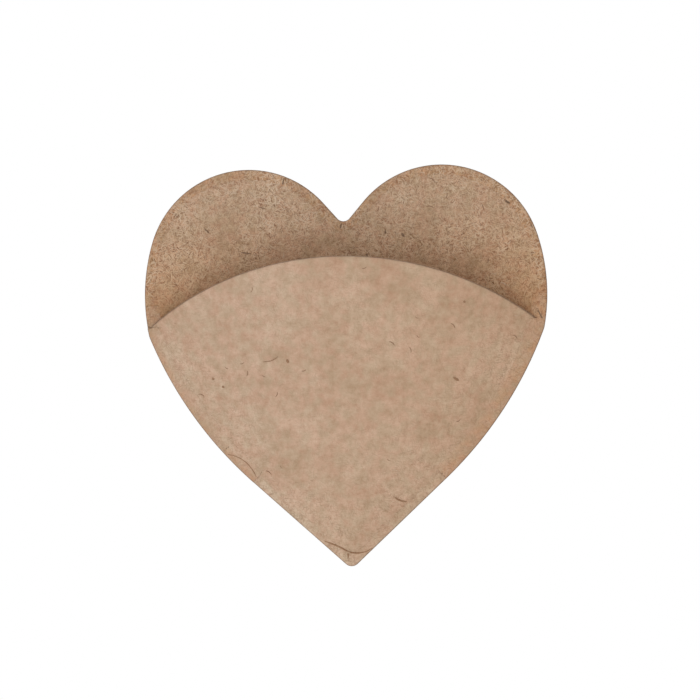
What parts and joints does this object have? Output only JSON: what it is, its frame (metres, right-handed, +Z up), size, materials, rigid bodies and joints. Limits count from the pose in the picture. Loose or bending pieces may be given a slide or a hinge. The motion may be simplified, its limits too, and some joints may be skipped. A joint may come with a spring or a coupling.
{
  "type": "heart wall pocket",
  "caption": "Heart-shaped papier-mache wall pocket with a flat back and a bowed front panel that leaves an open mouth below the lobes.",
  "frame": {"origin": "middle of the flat rear face, half way up the heart, on its line of symmetry", "axes": "+Y out of the rear face into the wall, +Z up from the tip to the lobes, +X to the right seen from the front"},
  "size_m": [0.121, 0.0248, 0.1198],
  "materials": {
    "board": "grey-brown pressed board",
    "back_kraft": "matt brown kraft paper, flecked",
    "edge_kraft": "matt brown kraft paper, rubbed at the edge",
    "front_kraft": "matt pale brown kraft paper, flecked"
  },
  "bodies": {
    "root": {"back_board": "board", "front_board": "board", "back_face_paper": "back_kraft", "back_rear_paper": "back_kraft", "lobe_edge_strip_left": "edge_kraft", "lobe_edge_strip_right": "edge_kraft", "front_outer_paper": "front_kraft", "front_lining_paper": "back_kraft", "seam_strip_left_upper": "front_kraft", "seam_strip_left_lower": "front_kraft", "seam_strip_right": "front_kraft", "tip_patch": "front_kraft"}
  },
  "joints": []
}
